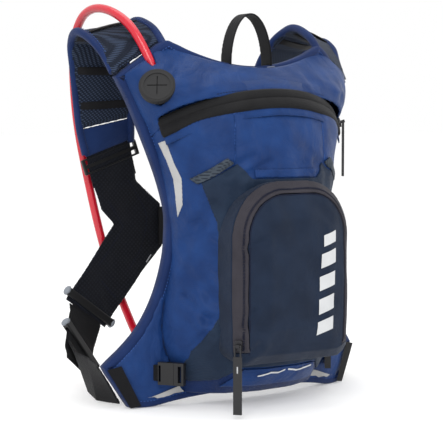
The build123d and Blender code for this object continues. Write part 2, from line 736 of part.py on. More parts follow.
# Bite valve on the hose's end, lying on the surface
hose_end = Vector(*hose_points[-1])
valve_along = (hose_end - Vector(*hose_points[-2])).normalized()
valve_plane = Plane(hose_end, x_dir=(0, 0, 1), z_dir=valve_along)
with BuildPart(valve_plane) as bite_valve_body:
    Cylinder(valve_diameter / 2, valve_length, align=(Align.CENTER, Align.CENTER, Align.MIN))
    fillet(bite_valve_body.edges(), 0.8)
mouth_middle = hose_end + valve_along * valve_length
with BuildPart(Plane(mouth_middle, x_dir=(0, 0, 1), z_dir=valve_along)) as bite_valve_mouthpiece:
    with BuildSketch(Plane(mouth_middle, x_dir=(0, 0, 1), z_dir=valve_along)):
        Circle(5.6)
    with BuildSketch(Plane(mouth_middle + valve_along * 12, x_dir=(0, 0, 1), z_dir=valve_along)):
        Ellipse(6.6, 9.5)
    with BuildSketch(Plane(mouth_middle + valve_along * 24, x_dir=(0, 0, 1), z_dir=valve_along)):
        Ellipse(4.4, 10)
    loft()
lever_middle = hose_end + valve_along * (valve_length * 0.55) + Vector(0, 0, valve_diameter / 2 + gap)
with BuildPart(Plane(lever_middle, x_dir=valve_along, z_dir=(0, 0, 1))) as shutoff_lever:
    Cylinder(lever_width / 2, lever_thickness, align=(Align.CENTER, Align.CENTER, Align.MIN))
    Box(lever_length, lever_width * 0.7, lever_thickness, align=(Align.MAX, Align.CENTER, Align.MIN))

nodes = {
    "upper_yoke": upper_yoke, "front_panel": front_panel, "side_panel_left": side_panel_left,
    "side_panel_right": side_panel_right, "bottom_panel": bottom_panel,
    "main_zip_tape": main_zip_tape, "cable_port": cable_port, "back_panel_foam": back_panel,
    "back_panel_mesh": back_mesh, "edge_binding": edge_binding, "side_wing_left": side_wing_left,
    "side_wing_right": side_wing_right, "grab_handle": grab_handle,
    "carrier_panel": carrier_panel, "stow_pocket_hem": stow_hem, "bottom_flap": bottom_flap,
    "carrier_top_tab_left": carrier_top_tab_left, "carrier_top_tab_right": carrier_top_tab_right,
    "pocket_gusset": pocket_gusset,
    "pocket_front": pocket_front, "pocket_zip_tape": pocket_zip_tape,
    "reflective_strip_left": reflective_strip_left, "reflective_strip_right": reflective_strip_right,
    "chest_clip_base": chest_clip_base, "chest_clip_slide": chest_clip_slide,
    "chest_clip_button": chest_clip_button, "main_zip_slider": main_zip_slider,
    "main_zip_pull": main_zip_pull, "pocket_zip_slider": pocket_zip_slider,
    "pocket_zip_pull": pocket_zip_pull, "bladder": bladder, "bladder_slide_bar": bladder_slide_bar,
    "bladder_hanger": bladder_hanger, "bladder_outlet": bladder_outlet,
    "release_button": release_button, "hose_inner": hose_inner, "hose": hose,
    "bite_valve_body": bite_valve_body, "bite_valve_mouthpiece": bite_valve_mouthpiece,
    "shutoff_lever": shutoff_lever,
}
harness_names = ["shoulder_strap", "strap_end_band", "ladder_lock", "chest_elastic", "lower_webbing",
                 "upper_adjuster", "lower_adjuster"]
for name, pieces, buckle in (("left", left, left_buckle), ("right", right, right_buckle)):
    for harness_name, piece in zip(harness_names, pieces):
        nodes[harness_name + "_" + name] = piece
    nodes["carrier_buckle_female_" + name] = buckle[0]
    nodes["carrier_buckle_male_" + name] = buckle[1]
    nodes["buckle_tail_" + name] = buckle[2]

for name, piece in nodes.items():
    piece.part.label = name
    export_step(piece.part, "parts/" + name + ".step")
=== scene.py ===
import json
import math

import bmesh
import bpy
import numpy as np
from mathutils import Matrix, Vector, noise


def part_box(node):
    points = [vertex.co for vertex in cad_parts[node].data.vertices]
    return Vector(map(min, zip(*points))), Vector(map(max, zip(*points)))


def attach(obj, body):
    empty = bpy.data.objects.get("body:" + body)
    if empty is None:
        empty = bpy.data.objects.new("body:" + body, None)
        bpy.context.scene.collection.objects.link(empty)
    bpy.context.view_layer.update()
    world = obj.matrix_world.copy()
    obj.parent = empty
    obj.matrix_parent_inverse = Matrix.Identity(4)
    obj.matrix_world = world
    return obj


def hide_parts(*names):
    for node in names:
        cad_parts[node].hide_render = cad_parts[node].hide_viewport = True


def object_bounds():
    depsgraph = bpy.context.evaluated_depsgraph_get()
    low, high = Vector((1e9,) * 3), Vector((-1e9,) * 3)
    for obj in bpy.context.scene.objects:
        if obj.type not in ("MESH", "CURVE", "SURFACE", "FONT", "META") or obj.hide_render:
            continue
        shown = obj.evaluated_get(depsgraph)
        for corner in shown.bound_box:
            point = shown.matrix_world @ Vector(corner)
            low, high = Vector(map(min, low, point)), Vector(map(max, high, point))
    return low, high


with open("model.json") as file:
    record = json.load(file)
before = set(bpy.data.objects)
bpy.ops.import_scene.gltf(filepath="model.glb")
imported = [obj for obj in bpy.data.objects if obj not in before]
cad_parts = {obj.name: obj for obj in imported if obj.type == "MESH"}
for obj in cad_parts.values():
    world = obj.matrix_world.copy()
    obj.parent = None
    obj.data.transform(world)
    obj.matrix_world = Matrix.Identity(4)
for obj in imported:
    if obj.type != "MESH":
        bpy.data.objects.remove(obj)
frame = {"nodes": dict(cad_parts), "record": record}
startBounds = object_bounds()
scene = bpy.context.scene


def mm(*values):
    return Vector(values) / 1000


# Camera
cameraSettings = {"target": (-26.8, 14.2, 195), "azimuth": -33, "elevation": 4.17, "distance": 1500,
                  "lens": 110.35}


def makeCamera(s):
    turn, lift = math.radians(s["azimuth"]), math.radians(s["elevation"])
    back = Vector((math.sin(turn) * math.cos(lift), -math.cos(turn) * math.cos(lift), math.sin(lift)))
    camera = bpy.data.objects.new("camera", bpy.data.cameras.new("camera"))
    camera.data.lens = s["lens"]
    camera.data.clip_start = 0.05
    camera.location = mm(*s["target"]) + back * s["distance"] / 1000
    camera.rotation_mode = "QUATERNION"
    camera.rotation_quaternion = (-back).to_track_quat("-Z", "Y")
    scene.collection.objects.link(camera)
    scene.camera = camera


makeCamera(cameraSettings)
print("camera")


# Shader groups, built once
def newGroup(name, inputs, outputs):
    group = bpy.data.node_groups.new(name, "ShaderNodeTree")
    for socket, kind, value in inputs:
        made = group.interface.new_socket(socket, in_out="INPUT", socket_type=kind)
        if value is not None:
            made.default_value = value
    for socket, kind in outputs:
        group.interface.new_socket(socket, in_out="OUTPUT", socket_type=kind)
    return group, group.nodes.new("NodeGroupInput"), group.nodes.new("NodeGroupOutput")


def math2(tree, operation, a, b=None):
    node = tree.nodes.new("ShaderNodeMath")
    node.operation = operation
    for index, value in enumerate((a, b)):
        if value is None:
            continue
        if isinstance(value, (int, float)):
            node.inputs[index].default_value = value
        else:
            tree.links.new(value, node.inputs[index])
    return node.outputs[0]


def makeWeaveGroup():
    # Crossed threads, where Threads is the phase in radians per metre
    inputs = [("Vector", "NodeSocketVector", None), ("Threads", "NodeSocketFloat", 6000.0),
              ("Slant", "NodeSocketFloat", 0.0)]
    outputs = [("Height", "NodeSocketFloat"), ("Soft", "NodeSocketFloat")]
    group, given, result = newGroup("weave", inputs, outputs)
    parts = group.nodes.new("ShaderNodeSeparateXYZ")
    group.links.new(given.outputs["Vector"], parts.inputs[0])
    side = math2(group, "ADD", parts.outputs[0], math2(group, "MULTIPLY", parts.outputs[1], 0.8))
    rise = math2(group, "ADD", parts.outputs[2], math2(group, "MULTIPLY", side, given.outputs["Slant"]))
    warp = math2(group, "SINE", math2(group, "MULTIPLY", side, given.outputs["Threads"]))
    weft = math2(group, "SINE", math2(group, "MULTIPLY", rise, given.outputs["Threads"]))
    crossed = math2(group, "MULTIPLY", warp, weft)
    group.links.new(crossed, result.inputs["Height"])
    cloud = group.nodes.new("ShaderNodeTexNoise")
    cloud.inputs["Scale"].default_value = 38.0
    cloud.inputs["Detail"].default_value = 4.0
    group.links.new(given.outputs["Vector"], cloud.inputs["Vector"])
    group.links.new(cloud.outputs["Fac"], result.inputs["Soft"])
    return group


def makeDotsGroup():
    # Spacer mesh: small round holes in a staggered net
    inputs = [("Vector", "NodeSocketVector", None), ("Pitch", "NodeSocketFloat", 0.0042)]
    group, given, result = newGroup("dots", inputs, [("Mask", "NodeSocketFloat")])
    parts = group.nodes.new("ShaderNodeSeparateXYZ")
    group.links.new(given.outputs["Vector"], parts.inputs[0])
    side = math2(group, "ADD", parts.outputs[0], parts.outputs[1])
    turns = math2(group, "DIVIDE", 6.2832, given.outputs["Pitch"])
    first = math2(group, "MULTIPLY", math2(group, "ADD", side, parts.outputs[2]), turns)
    second = math2(group, "MULTIPLY", math2(group, "SUBTRACT", side, parts.outputs[2]), turns)
    total = math2(group, "ADD", math2(group, "COSINE", first), math2(group, "COSINE", second))
    group.links.new(math2(group, "GREATER_THAN", total, 0.5), result.inputs["Mask"])
    return group


def makeNoiseGroup(name, detail, distortion):
    # Soft noise over the surface, used for handling creases and for the grain of moulded pieces
    inputs = [("Vector", "NodeSocketVector", None), ("Scale", "NodeSocketFloat", 26.0)]
    group, given, result = newGroup(name, inputs, [("Amount", "NodeSocketFloat")])
    cloud = group.nodes.new("ShaderNodeTexNoise")
    cloud.inputs["Detail"].default_value = detail
    cloud.inputs["Distortion"].default_value = distortion
    group.links.new(given.outputs["Vector"], cloud.inputs["Vector"])
    group.links.new(given.outputs["Scale"], cloud.inputs["Scale"])
    group.links.new(cloud.outputs["Fac"], result.inputs["Amount"])
    return group


weaveGroup = makeWeaveGroup()
dotsGroup = makeDotsGroup()
crushGroup = makeNoiseGroup("crush", 3.0, 1.3)
speckGroup = makeNoiseGroup("speck", 2.0, 0.0)


def makeCloth(name, color, light, threads=6000.0, slant=0.0, rough=0.62, sheen=0.06, bump=0.35, dots=None,
              wrinkle=0.0):
    # dots is a colour and a pitch in metres
    material = bpy.data.materials.new(name)
    material.use_nodes = True
    tree = material.node_tree
    surface = tree.nodes["Principled BSDF"]
    place = tree.nodes.new("ShaderNodeTexCoord")
    weave = tree.nodes.new("ShaderNodeGroup")
    weave.node_tree = weaveGroup
    weave.inputs["Threads"].default_value = threads
    weave.inputs["Slant"].default_value = slant
    tree.links.new(place.outputs["Object"], weave.inputs["Vector"])
    mix = tree.nodes.new("ShaderNodeMix")
    mix.data_type = "RGBA"
    mix.inputs["A"].default_value = (*color, 1)
    mix.inputs["B"].default_value = (*light, 1)
    blendRamp = tree.nodes.new("ShaderNodeMapRange")
    blendRamp.inputs["From Min"].default_value = 0.3
    blendRamp.inputs["From Max"].default_value = 0.75
    grain = math2(tree, "MULTIPLY", weave.outputs["Height"], 0.12)
    tree.links.new(math2(tree, "ADD", weave.outputs["Soft"], grain), blendRamp.inputs["Value"])
    tree.links.new(blendRamp.outputs["Result"], mix.inputs["Factor"])
    shade = mix.outputs["Result"]
    if dots:
        net = tree.nodes.new("ShaderNodeGroup")
        net.node_tree = dotsGroup
        net.inputs["Pitch"].default_value = dots[1]
        tree.links.new(place.outputs["Object"], net.inputs["Vector"])
        over = tree.nodes.new("ShaderNodeMix")
        over.data_type = "RGBA"
        over.inputs["B"].default_value = (*dots[0], 1)
        tree.links.new(shade, over.inputs["A"])
        tree.links.new(net.outputs["Mask"], over.inputs["Factor"])
        shade = over.outputs["Result"]
    tree.links.new(shade, surface.inputs["Base Color"])
    bumpNode = tree.nodes.new("ShaderNodeBump")
    bumpNode.inputs["Strength"].default_value = bump
    bumpNode.inputs["Distance"].default_value = 0.0006
    tree.links.new(weave.outputs["Height"], bumpNode.inputs["Height"])
    if wrinkle:
        # Fine handling creases over the weave
        crush = tree.nodes.new("ShaderNodeGroup")
        crush.node_tree = crushGroup
        tree.links.new(place.outputs["Object"], crush.inputs["Vector"])
        fold = tree.nodes.new("ShaderNodeBump")
        fold.inputs["Strength"].default_value = wrinkle
        fold.inputs["Distance"].default_value = 0.006
        tree.links.new(crush.outputs["Amount"], fold.inputs["Height"])
        tree.links.new(fold.outputs["Normal"], bumpNode.inputs["Normal"])
    tree.links.new(bumpNode.outputs["Normal"], surface.inputs["Normal"])
    surface.inputs["Roughness"].default_value = rough
    surface.inputs["Sheen Weight"].default_value = sheen
    surface.inputs["Sheen Roughness"].default_value = 0.4
    surface.inputs["Specular IOR Level"].default_value = 0.16
    return material


def makeHard(name, color, rough=0.4, metallic=0.0, transmission=0.0, coat=0.0, specular=0.5):
    material = bpy.data.materials.new(name)
    material.use_nodes = True
    tree = material.node_tree
    surface = tree.nodes["Principled BSDF"]
    speck = tree.nodes.new("ShaderNodeGroup")
    speck.node_tree = speckGroup
    speck.inputs["Scale"].default_value = 900.0
    place = tree.nodes.new("ShaderNodeTexCoord")
    tree.links.new(place.outputs["Object"], speck.inputs["Vector"])
    mix = tree.nodes.new("ShaderNodeMix")
    mix.data_type = "RGBA"
    mix.inputs["A"].default_value = (*[c * 0.85 for c in color], 1)
    mix.inputs["B"].default_value = (*[min(1, c * 1.15) for c in color], 1)
    tree.links.new(speck.outputs["Amount"], mix.inputs["Factor"])
    tree.links.new(mix.outputs["Result"], surface.inputs["Base Color"])
    surface.inputs["Roughness"].default_value = rough
    surface.inputs["Metallic"].default_value = metallic
    surface.inputs["Transmission Weight"].default_value = transmission
    surface.inputs["Coat Weight"].default_value = coat
    surface.inputs["Specular IOR Level"].default_value = specular
    return material


blueNylon = makeCloth("blueNylon", (0.0040, 0.024, 0.105), (0.0085, 0.042, 0.165), rough=0.42, bump=0.25,
                      wrinkle=0.55)
# Bottom panel cloth is the blue nylon painted about a third darker: painted shade for the underside, which curves
# away from the light
shadedBottomNylon = makeCloth("shadedBottomNylon", (0.0025, 0.014, 0.068), (0.0045, 0.022, 0.098), rough=0.5, wrinkle=0.5)
navyNylon = makeCloth("navyNylon", (0.0040, 0.0105, 0.027), (0.0085, 0.0185, 0.043), rough=0.6, wrinkle=0.3)
carrierNylon = makeCloth("carrierNylon", (0.0070, 0.0160, 0.037), (0.0140, 0.0290, 0.059),
                         threads=5400.0, rough=0.6, wrinkle=0.45)
bindingBlue = makeCloth("bindingBlue", (0.0040, 0.016, 0.074), (0.0080, 0.026, 0.108), threads=5000.0,
                        rough=0.6)
bandBlue = makeCloth("bandBlue", (0.005, 0.018, 0.078), (0.008, 0.028, 0.110), threads=4800.0, slant=0.4,
                     wrinkle=0.3)
darkMesh = makeCloth("darkMesh", (0.006, 0.009, 0.018), (0.010, 0.015, 0.028), rough=0.85,
                     dots=((0.034, 0.050, 0.088), 0.0036))
paleMesh = makeCloth("paleMesh", (0.040, 0.052, 0.068), (0.062, 0.078, 0.100),
                     dots=((0.014, 0.020, 0.032), 0.0034))
backMesh = makeCloth("backMesh", (0.007, 0.008, 0.012), (0.012, 0.014, 0.020), threads=4200.0, rough=0.9,
                     dots=((0.002, 0.002, 0.003), 0.0048))
blackWebbing = makeCloth("blackWebbing", (0.004, 0.004, 0.005), (0.009, 0.009, 0.011), threads=4200.0,
                         slant=0.5, rough=0.7, sheen=0.05)
navyElastic = makeCloth("navyElastic", (0.0030, 0.0036, 0.0065), (0.006, 0.007, 0.012), threads=3600.0,
                        rough=0.8, bump=0.6, dots=((0.010, 0.012, 0.019), 0.0052), wrinkle=0.5)
charcoalTape = makeCloth("charcoalTape", (0.006, 0.006, 0.007), (0.011, 0.011, 0.012), threads=5200.0,
                         rough=0.7, sheen=0.05)
taupeTape = makeCloth("taupeTape", (0.026, 0.024, 0.031), (0.040, 0.037, 0.046), rough=0.7)
reflective = makeCloth("reflective", (0.34, 0.34, 0.34), (0.44, 0.44, 0.44), threads=7000.0, rough=0.45,
                       sheen=0.0, bump=0.1)
whitePrint = makeCloth("whitePrint", (0.52, 0.53, 0.54), (0.60, 0.61, 0.62), threads=7000.0, rough=0.5,
                       sheen=0.0, bump=0.1)
threadPale = makeCloth("threadPale", (0.20, 0.22, 0.29), (0.28, 0.31, 0.38), threads=7000.0, sheen=0.03)
threadBlue = makeCloth("threadBlue", (0.022, 0.062, 0.22), (0.032, 0.085, 0.28), threads=7000.0, sheen=0.03)
threadDark = makeCloth("threadDark", (0.003, 0.005, 0.018), (0.006, 0.009, 0.028), threads=7000.0, sheen=0.03)
threadWhite = makeCloth("threadWhite", (0.40, 0.41, 0.43), (0.50, 0.51, 0.53), threads=7000.0, sheen=0.03)
blackPlastic = makeHard("blackPlastic", (0.009, 0.009, 0.010), rough=0.42, specular=0.4)
glossBlack = makeHard("glossBlack", (0.008, 0.008, 0.009), rough=0.25, coat=0.3)
portRubber = makeHard("portRubber", (0.010, 0.010, 0.011), rough=0.62, specular=0.35)
greyPlastic = makeHard("greyPlastic", (0.20, 0.22, 0.25), rough=0.45)
darkMetal = makeHard("darkMetal", (0.030, 0.030, 0.034), rough=0.34, metallic=0.7)
pullRubber = makeHard("pullRubber", (0.015, 0.015, 0.017), rough=0.55, specular=0.4)
hoseRed = makeHard("hoseRed", (0.60, 0.008, 0.026), rough=0.22, transmission=0.1, coat=0.25)
bladderFilm = makeHard("bladderFilm", (0.36, 0.47, 0.58), rough=0.25, transmission=0.5)
mouthRubber = makeHard("mouthRubber", (0.48, 0.02, 0.04), rough=0.35)
print("materials")


# Shapes shared by the pieces
def newObject(name, vertices, faces, material, smooth=True):
    mesh = bpy.data.meshes.new(name)
    mesh.from_pydata([tuple(v) for v in vertices], [], faces)
    mesh.materials.append(material)
    mesh.polygons.foreach_set("use_smooth", [smooth] * len(mesh.polygons))
    mesh.update()
    made = bpy.data.objects.new(name, mesh)
    scene.collection.objects.link(made)
    return made


def sweepSection(name, stations, section, material, body="pack"):
    # stations are (middle, across, up) in millimetres; section is a closed outline of (across, up)
    vertices, faces = [], []
    count = len(section)
    for middle, across, up in stations:
        for a, b in section:
            vertices.append((Vector(middle) + Vector(across) * a + Vector(up) * b) / 1000)
    last = len(stations) - 1
    for row in range(last):
        here, after = row * count, (row + 1) * count
        for k in range(count):
            n = (k + 1) % count
            faces.append((here + k, here + n, after + n, after + k))
    faces.append(tuple(range(count - 1, -1, -1)))
    faces.append(tuple(last * count + k for k in range(count)))
    made = newObject(name, vertices, faces, material)
    fixNormals(made)
    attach(made, body)
    return made


def fixNormals(made):
    cleaner = bmesh.new()
    cleaner.from_mesh(made.data)
    bmesh.ops.recalc_face_normals(cleaner, faces=cleaner.faces)
    cleaner.to_mesh(made.data)
    cleaner.free()


def smoothPath(points, steps=8, closed=False):
    # Curve through the points, finer by the number of steps
    known = [np.array(p, float) for p in points]
    count = len(known)
    path = []
    spans = count if closed else count - 1
    for i in range(spans):
        if closed:
            a, b, c, d = (known[(i + k) % count] for k in (-1, 0, 1, 2))
        else:
            b, c = known[i], known[i + 1]
            a = known[i - 1] if i else 2 * b - c
            d = known[i + 2] if i + 2 < count else 2 * c - b
        for step in range(steps):
            t = step / steps
            square, cube = (2 * a - 5 * b + 4 * c - d) * t * t, (3 * b - a - 3 * c + d) * t ** 3
            path.append(0.5 * (2 * b + (c - a) * t + square + cube))
    if not closed:
        path.append(known[-1])
    return [Vector(p) for p in path]


def roundSection(width, thickness, corner=0.45, steps=3):
    half, tall = width / 2, thickness / 2
    r = min(half, tall) * 2 * corner
    section = []
    corners = ((half - r, tall - r, 0), (-half + r, tall - r, 90), (-half + r, -tall + r, 180),
               (half - r, -tall + r, 270))
    for cx, cy, start in corners:
        for k in range(steps + 1):
            angle = math.radians(start + 90 * k / steps)
            section.append((cx + r * math.cos(angle), cy + r * math.sin(angle)))
    return section


def ribbonStations(points, acrosses, steps=8):
    path = smoothPath(points, steps)
    sides = smoothPath(acrosses, steps)
    stations = []
    for i, (p, side) in enumerate(zip(path, sides)):
        along = path[min(i + 1, len(path) - 1)] - path[max(i - 1, 0)]
        across = (side - along * (side.dot(along) / along.length_squared)).normalized()
        stations.append((p, across, along.cross(across).normalized()))
    return stations


def makeRibbon(name, points, acrosses, width, thickness, material):
    return sweepSection(name, ribbonStations(points, acrosses), roundSection(width, thickness), material)


def stitchRow(name, points, material, target=None, pitch=3.4, length=2.2, width=0.55, lift=0.35):
    # Short threads along a path, laid on a target piece
    path = smoothPath(points, 10)
    vertices, faces = [], []
    carried = 0.0
    for a, b in zip(path, path[1:]):
        span = (b - a).length
        while carried < span:
            p = a.lerp(b, carried / span)
            along = (b - a).normalized()
            up = Vector((0, -1, 0))
            if target is not None:
                found, spot, normal, _ = target.closest_point_on_mesh(p / 1000)
                if found:
                    p, up = spot * 1000, normal
            across = along.cross(up).normalized()
            top = p + up * lift
            start = len(vertices)
            for s, w in ((-0.5, 0), (-0.3, 1), (0.3, 1), (0.5, 0)):
                for side in (-1, 1):
                    corner = top + along * length * s + across * side * width * (0.35 + 0.65 * w)
                    vertices.append((corner - up * lift * (1 - w)) / 1000)
            for k in range(3):
                q = start + 2 * k
                faces.append((q, q + 1, q + 3, q + 2))
            carried += pitch
        carried -= span
    made = newObject(name, vertices, faces, material)
    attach(made, "pack")
    return made


def worldMesh(node):
    source = frame["nodes"][node]
    mesh = source.data.copy()
    mesh.transform(source.matrix_world)
    mesh.materials.clear()
    return mesh


def evaluated(made):
    bpy.context.view_layer.update()
    graph = bpy.context.evaluated_depsgraph_get()
    mesh = bpy.data.meshes.new_from_object(made.evaluated_get(graph), depsgraph=graph)
    made.modifiers.clear()
    made.data = mesh
    return made


def bodyOf(node):
    for name, nodes in frame["record"]["behaviour"]["bodies"].items():
        if node in nodes:
            return name
    return "pack"


def finishPiece(made, node):
    made.data.polygons.foreach_set("use_smooth", [True] * len(made.data.polygons))
    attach(made, bodyOf(node))
    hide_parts(node)
    return made


def softCopy(node, material, voxel, relax=2, move=None, inflate=0.0, simulate=None, thicken=0.0):
    # Cloth version of a soft node: even mesh, relaxed edges, air pressure, then folds. Sizes in millimetres
    made = bpy.data.objects.new(node + "Cloth", worldMesh(node))
    scene.collection.objects.link(made)
    if thicken:
        # Thin cloth is made a little thicker first, so that the even mesh has no holes
        joiner = bmesh.new()
        joiner.from_mesh(made.data)
        bmesh.ops.remove_doubles(joiner, verts=joiner.verts, dist=0.00002)
        joiner.normal_update()
        for vertex in joiner.verts:
            vertex.co += vertex.normal * thicken / 1000
        joiner.to_mesh(made.data)
        joiner.free()
    fine = made.modifiers.new("even", "REMESH")
    fine.mode = "VOXEL"
    fine.voxel_size = voxel / 1000
    fine.adaptivity = 0.0
    calm = made.modifiers.new("calm", "SMOOTH")
    calm.factor = 0.5
    calm.iterations = relax
    evaluated(made)
    if simulate:
        puffUp(made, simulate)
    count = len(made.data.vertices)
    points = np.empty(count * 3)
    made.data.vertices.foreach_get("co", points)
    points = points.reshape(-1, 3) * 1000
    if inflate:
        normals = np.array([v.normal for v in made.data.vertices])
        points = points + normals * inflate
    if move:
        points = points + np.array([move(p) for p in points])
    made.data.vertices.foreach_set("co", (points / 1000).ravel())
    made.data.materials.clear()
    made.data.materials.append(material)
    made.data.update()
    return finishPiece(made, node)


def puffUp(made, s):
    # Air pressure rounds a padded piece, with its movement capped
    before = np.empty(len(made.data.vertices) * 3)
    made.data.vertices.foreach_get("co", before)
    cloth = made.modifiers.new("cloth", "CLOTH")
    cloth.settings.quality = 5
    cloth.settings.mass = 0.3
    cloth.settings.tension_stiffness = 15
    cloth.settings.compression_stiffness = 15
    cloth.settings.bending_stiffness = 1.5
    cloth.settings.use_pressure = True
    cloth.settings.uniform_pressure_force = s["pressure"]
    cloth.settings.effector_weights.gravity = 0
    cloth.collision_settings.use_collision = False
    cloth.point_cache.frame_start = 1
    cloth.point_cache.frame_end = 20
    for step in range(1, 21):
        scene.frame_set(step)
    evaluated(made)
    scene.frame_set(1)
    after = np.empty(len(made.data.vertices) * 3)
    made.data.vertices.foreach_get("co", after)
    shift = (after - before).reshape(-1, 3)
    size = np.linalg.norm(shift, axis=1, keepdims=True)
    cap = s["cap"] / 1000
    shift *= np.minimum(1, cap / np.maximum(size, 1e-9))
    made.data.vertices.foreach_set("co", (before.reshape(-1, 3) + shift).ravel())
    made.data.update()


def hardPiece(node, material, edge=0.4):
    shown = frame["nodes"][node]
    shown.data.materials.clear()
    shown.data.materials.append(material)
    if edge:
        soft = shown.modifiers.new("edge", "BEVEL")
        soft.width = edge / 1000
        soft.segments = 2
        soft.limit_method = "ANGLE"
        soft.angle_limit = math.radians(40)
    return shown


# Free hose first, then the bite valve pieces, which stay where they were imported
hoseSettings = {"diameter": 9.6, "length": 691, "points": [
    (-121, 13, 376), (-126, 22, 395), (-131, 42, 414), (-136, 72, 427), (-139, 102, 430), (-139, 130, 421),
    (-137, 152, 396), (-133, 161, 352), (-128, 161, 298), (-117, 157, 238), (-104, 155, 180), (-90, 154, 132),
    (-74, 152, 92), (-58, 148, 52), (-40, 136, 22), (-17, 116, 7), (14, 102, 5.2), (44, 98, 7.4), (72, 103, 7.4)]}
innerHosePoints = [(0, -46, 98), (0, -46, 140), (-46, -42, 200), (-82, -22, 262), (-98, -1, 316),
                   (-115.5, 3.1, 355.1), (-121, 13, 376)]


def makeHose(name, points, node, diameter):
    curve = bpy.data.curves.new(name, "CURVE")
    curve.dimensions = "3D"
    line = curve.splines.new("NURBS")
    line.points.add(len(points) - 1)
    for point, place in zip(line.points, points):
        point.co = (*mm(*place), 1)
    line.order_u = 3
    line.use_endpoint_u = True
    line.resolution_u = 12
    curve.bevel_depth = diameter / 2000
    curve.bevel_resolution = 5
    curve.use_fill_caps = True
    curve.materials.append(hoseRed)
    made = bpy.data.objects.new(name, curve)
    scene.collection.objects.link(made)
    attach(made, "pack")
    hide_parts(node)
    return made


hose = makeHose("hoseTube", hoseSettings["points"], "hose", hoseSettings["diameter"])
makeHose("hoseInnerTube", innerHosePoints, "hose_inner", hoseSettings["diameter"])
valvePieces = [hardPiece("bite_valve_body", glossBlack), hardPiece("bite_valve_mouthpiece", mouthRubber, 0.8),
               hardPiece("shutoff_lever", greyPlastic)]
print("hose")

# Sewn body: how its cloth bulges and creases
zipTilt = math.radians(29.9)
zipAxis = np.array((0, math.sin(zipTilt), math.cos(zipTilt)))
zipInward = np.array((0, math.cos(zipTilt), -math.sin(zipTilt)))
zipApex = np.array((0, -62, 331.5))
zipRadius = 138.7
zipCentre = zipApex + zipInward * zipRadius
bodySettings = {
    "puff": 3.0, "fold": 1.5,
    # where the buckle's male half slides out, how far round it the cloth is pressed flat, and how deep
    "buckle": (86.0, -22.0, 38.0), "buckleReach": 26, "press": 0.7,
    # ends of each crease, its depth and its half width
    "creases": [
        ((-100, -26, 120), (-84, -47, 98), 2.5, 6), ((-84, -47, 98), (-70, -56, 96), 2.2, 6),
        ((-98, -26, 146), (-82, -48, 124), 2.2, 7), ((-88, -34, 200), (-76, -46, 216), 2.4, 7),
        ((-96, -20, 176), (-84, -38, 196), 1.9, 7), ((-110, -22, 372), (-118, -14, 345), 2.4, 6),
        ((-96, -30, 340), (-92, -36, 318), 2.4, 7), ((-78, -30, 356), (-84, -38, 336), 1.8, 7),
        ((-40, -62, 268), (-64, -54, 254), 2.6, 5), ((40, -62, 262), (62, -52, 256), 2.2, 5),
        ((-22, -66, 262), (-50, -60, 250), 1.8, 5), ((-94, -24, 60), (-80, -40, 82), 2.4, 6),
        ((96, -26, 120), (80, -48, 100), 2.5, 6), ((94, -28, 190), (78, -44, 210), 2.4, 6),
        ((104, -24, 330), (96, -34, 304), 2.2, 6), ((60, -44, 352), (80, -36, 336), 1.6, 8)],
}


def creaseDepth(p, out, creases):
    # Distance to each crease is measured along the cloth, so both faces move together
    total = 0.0
    for a, b, depth, width in creases:
        a, b = np.array(a, float), np.array(b, float)
        t = np.clip(np.dot(p - a, b - a) / np.dot(b - a, b - a), 0, 1)
        gone = p - a - (b - a) * t
        if np.linalg.norm(gone) > 6 * width:
            continue
        gone = gone - out * np.dot(gone, out)
        away = np.linalg.norm(gone)
        if away < 3 * width:
            total += depth * (math.exp(-(away / width) ** 2) - 0.45 * math.exp(-((away - 1.7 * width) / width) ** 2))
    return total


def outwards(p):
    # Away from the compartment's middle
    out = np.array((p[0] * 0.8, p[1] - 70, 0.0))
    return out / max(np.linalg.norm(out), 1e-6)


def bodyMove(p):
    out, s = outwards(p), bodySettings
    fromZip = abs(np.dot(p - zipApex, zipAxis))
    calm = min(1.0, max(0.0, (fromZip - 8) / 16))
    hem = min(1.0, max(0.0, (20 - p[1]) / 26))
    seam = 1 - 0.75 * math.exp(-((abs(p[0]) - 56) / 5) ** 2)
    puff = s["puff"] * calm * hem * (0.6 + 0.4 * seam)
    q = Vector((p[0] * 0.030, p[1] * 0.030, p[2] * 0.017 + p[0] * 0.012))
    fold = (noise.noise(q) + 0.5 * noise.noise(q * 2.3)) * s["fold"] * 1.6 * calm
    depth = creaseDepth(p, out, s["creases"]) * calm
    across, along, rise = s["buckle"]
    way = p - np.array((math.copysign(across, p[0]), along, rise))
    relief = math.exp(-(np.linalg.norm(way) / s["buckleReach"]) ** 2)
    return out * ((puff + fold * hem - depth) * (1 - relief) - s["press"] * relief)


# The bottom panel takes the painted-shade copy of the blue nylon
bodyPieces = {"upper_yoke": blueNylon, "front_panel": blueNylon, "side_panel_left": blueNylon,
              "side_panel_right": blueNylon, "bottom_panel": shadedBottomNylon}
bodyCloth = {}
for node, material in bodyPieces.items():
    bodyCloth[node] = softCopy(node, material, voxel=1.6, relax=3, move=bodyMove, thicken=0.6)
print("body panels")


# Binding round the whole outline, bent with the back panel round an upright cylinder
bendRadius = 400


def edgeY(x, radius):
    return bendRadius - math.sqrt(radius ** 2 - x ** 2)


bindingSettings = {"width": 8.5, "front": 407.8, "back": 395.4}


def outlinePath():
    neck = [(x, 366 + 26 * (x / 100) ** 2) for x in (0, 25, 50, 75, 92)]
    shoulder = [(104, 390), (128, 371.5), (150, 354.5)]
    arm = [(150, 349), (142, 332), (133, 310), (118, 270), (108, 240), (101, 210), (100.6, 185), (103, 160),
           (110, 131), (119, 107), (131, 85), (146, 66), (163, 48)]
    wing = [(164.5, 42), (153, 22), (141.5, 3)]
    low = [(138, 0.9), (118, 0.9), (95, 5.5), (71, 9), (36, 11.5), (0, 11)]
    half = neck + shoulder + arm + wing + low
    return half + [(-x, z) for x, z in reversed(half[1:-1])]


